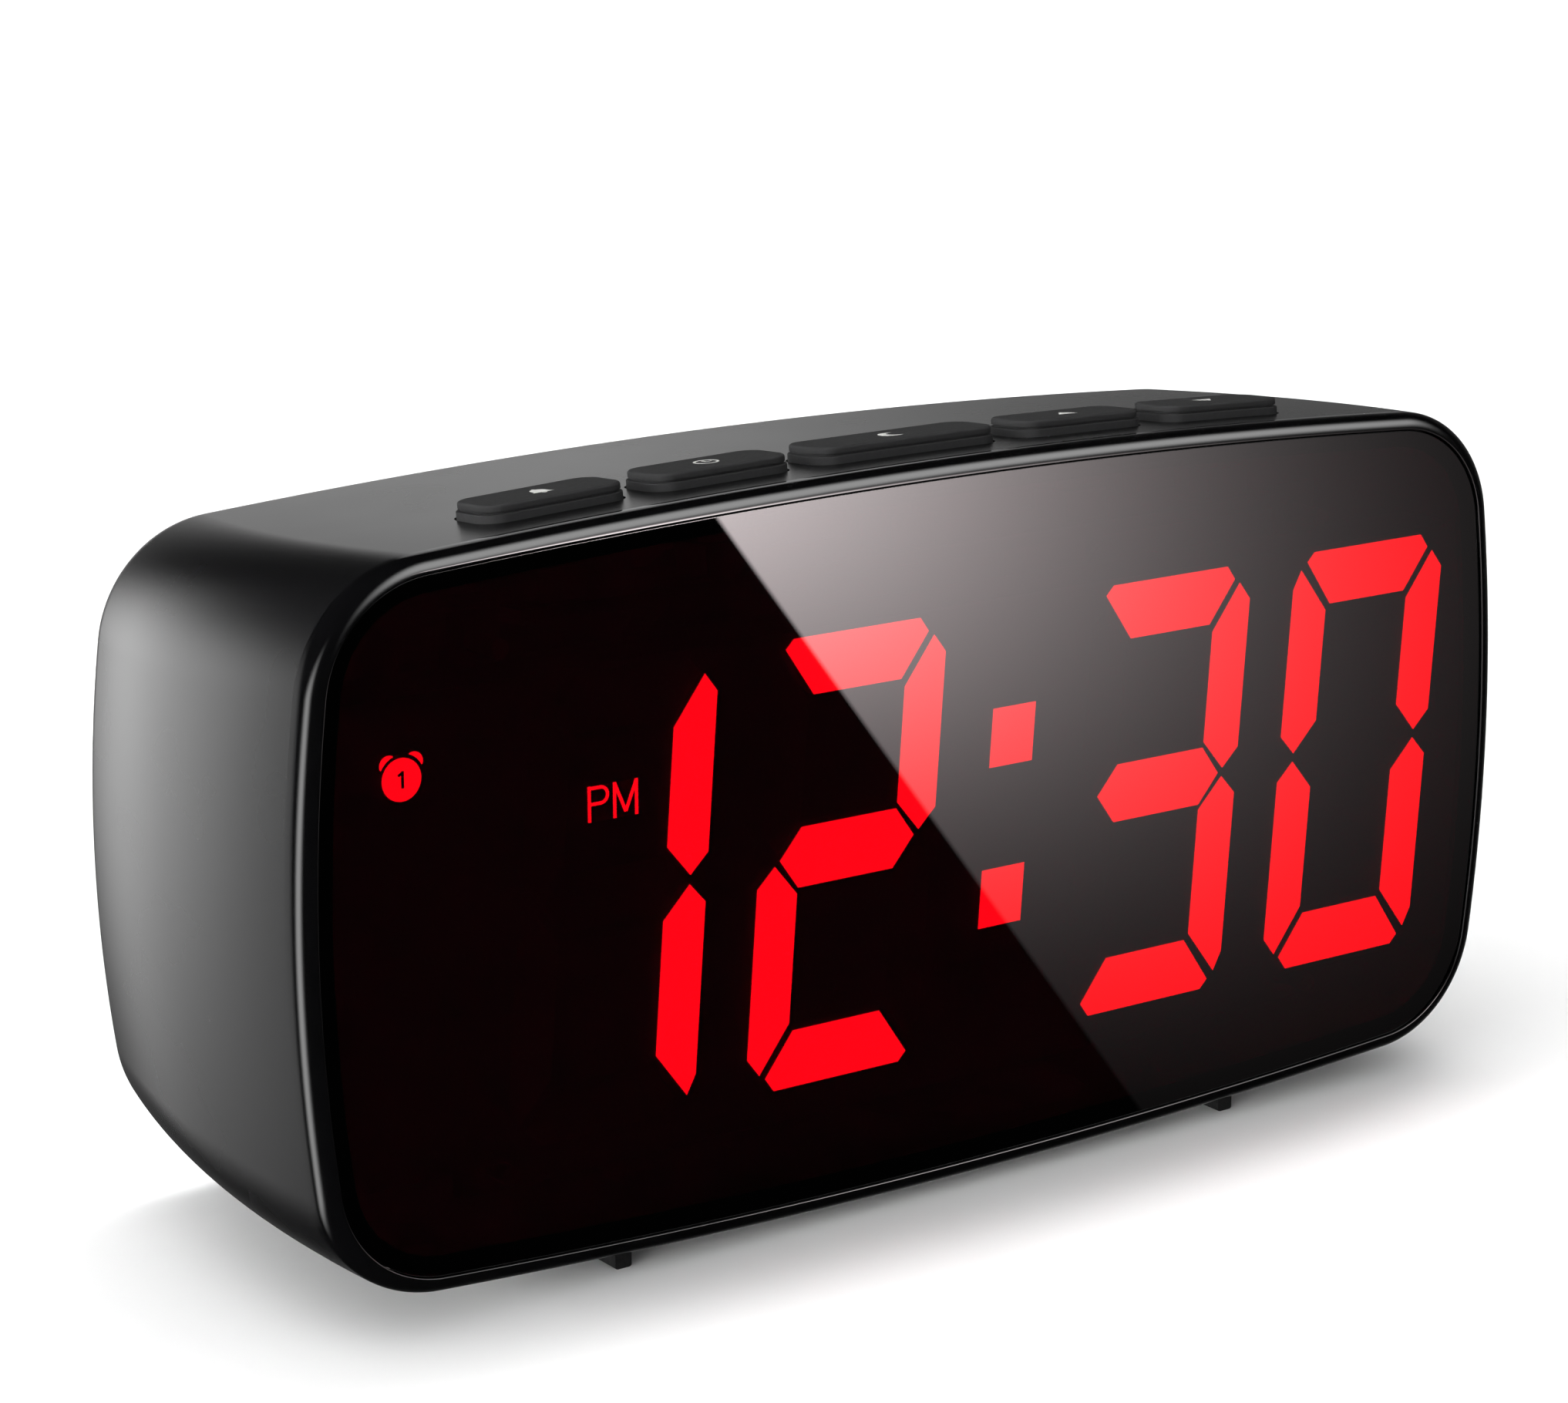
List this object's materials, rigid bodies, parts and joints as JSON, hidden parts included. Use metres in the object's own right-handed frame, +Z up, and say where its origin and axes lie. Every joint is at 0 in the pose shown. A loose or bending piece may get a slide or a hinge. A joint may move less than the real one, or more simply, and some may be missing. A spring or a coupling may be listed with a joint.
{
  "type": "digital alarm clock",
  "caption": "Desk alarm clock with a bowed black case, a smoked lens over a red segment display, a row of sprung keys on top and a twist-off cell cap behind.",
  "frame": {"origin": "under the middle of the clock, on the surface that it stands on", "axes": "+X to the right seen from the front, +Y from the display to the back, +Z up"},
  "size_m": [0.1696, 0.0544, 0.0859],
  "materials": {
    "black_gloss": "polished black ABS",
    "bezel_gloss": "polished black ABS",
    "smoked_lens": "smoked red acrylic, polished",
    "black_tape": "black foam tape",
    "reflector_black": "moulded black, satin",
    "lit_red": "red diffuser resin, lit",
    "unlit_red": "red diffuser resin, dark",
    "lamp_resin": "clear lamp resin",
    "board_green": "solder resist",
    "chip_black": "moulded black",
    "bright_steel": "bright plated steel",
    "switch_black": "moulded black",
    "plunger_white": "moulded white",
    "key_black": "fine matte grain",
    "jack_black": "moulded black",
    "contact_brass": "plated spring brass",
    "screw_steel": "zinc plated",
    "skid_rubber": "matte black rubber",
    "ribbon_grey": "grey sheath",
    "lead_black": "black sheath",
    "lead_red": "red sheath"
  },
  "bodies": {
    "case": {"housing": "black_gloss", "front_bezel": "bezel_gloss", "display_lens": "smoked_lens", "lens_tape": "black_tape", "digit_reflector": "reflector_black", "lit_segments": "lit_red", "unlit_segments": "unlit_red", "display_signs": "lit_red", "segment_lamps": "lamp_resin", "main_board": "board_green", "clock_chip": "chip_black", "crystal": "bright_steel", "key_board": "board_green", "switch_bodies": "switch_black", "sounder": "chip_black", "dc_jack": "jack_black", "jack_nut": "bright_steel", "coin_cell": "bright_steel", "positive_contact": "contact_brass", "negative_contact": "contact_brass", "case_screws": "screw_steel", "key_board_screws": "screw_steel", "display_screws": "screw_steel", "left_skid": "skid_rubber", "right_skid": "skid_rubber", "key_ribbon": "ribbon_grey", "power_lead": "lead_black", "sounder_lead": "lead_red", "cell_lead": "lead_black"},
    "alarm_button": {"alarm_key": "key_black", "alarm_plunger": "plunger_white"},
    "set_button": {"set_key": "key_black", "set_plunger": "plunger_white"},
    "snooze_button": {"snooze_key": "key_black", "snooze_plunger": "plunger_white"},
    "up_button": {"up_key": "key_black", "up_plunger": "plunger_white"},
    "down_button": {"down_key": "key_black", "down_plunger": "plunger_white"},
    "battery_cover": {"battery_cap": "black_gloss"}
  },
  "joints": [
    {"name": "alarm_press", "type": "slide", "parent": "case", "child": "alarm_button", "axis": [0.0426, -0.0786, -0.996], "range_m": [0, 0.0005], "stiffness_N_per_m": 800},
    {"name": "set_press", "type": "slide", "parent": "case", "child": "set_button", "axis": [0.0229, -0.0786, -0.9966], "range_m": [0, 0.0005], "stiffness_N_per_m": 800},
    {"name": "snooze_press", "type": "slide", "parent": "case", "child": "snooze_button", "axis": [0, -0.0787, -0.9969], "range_m": [0, 0.0005], "stiffness_N_per_m": 800},
    {"name": "up_press", "type": "slide", "parent": "case", "child": "up_button", "axis": [-0.0229, -0.0786, -0.9966], "range_m": [0, 0.0005], "stiffness_N_per_m": 800},
    {"name": "down_press", "type": "slide", "parent": "case", "child": "down_button", "axis": [-0.0426, -0.0786, -0.996], "range_m": [0, 0.0005], "stiffness_N_per_m": 800},
    {"name": "battery_cap_turn", "type": "hinge", "parent": "case", "child": "battery_cover", "pos_m": [0.044, 0.02725, 0.03805], "axis": [0, -1, 0], "range_deg": [0, 45]}
  ]
}
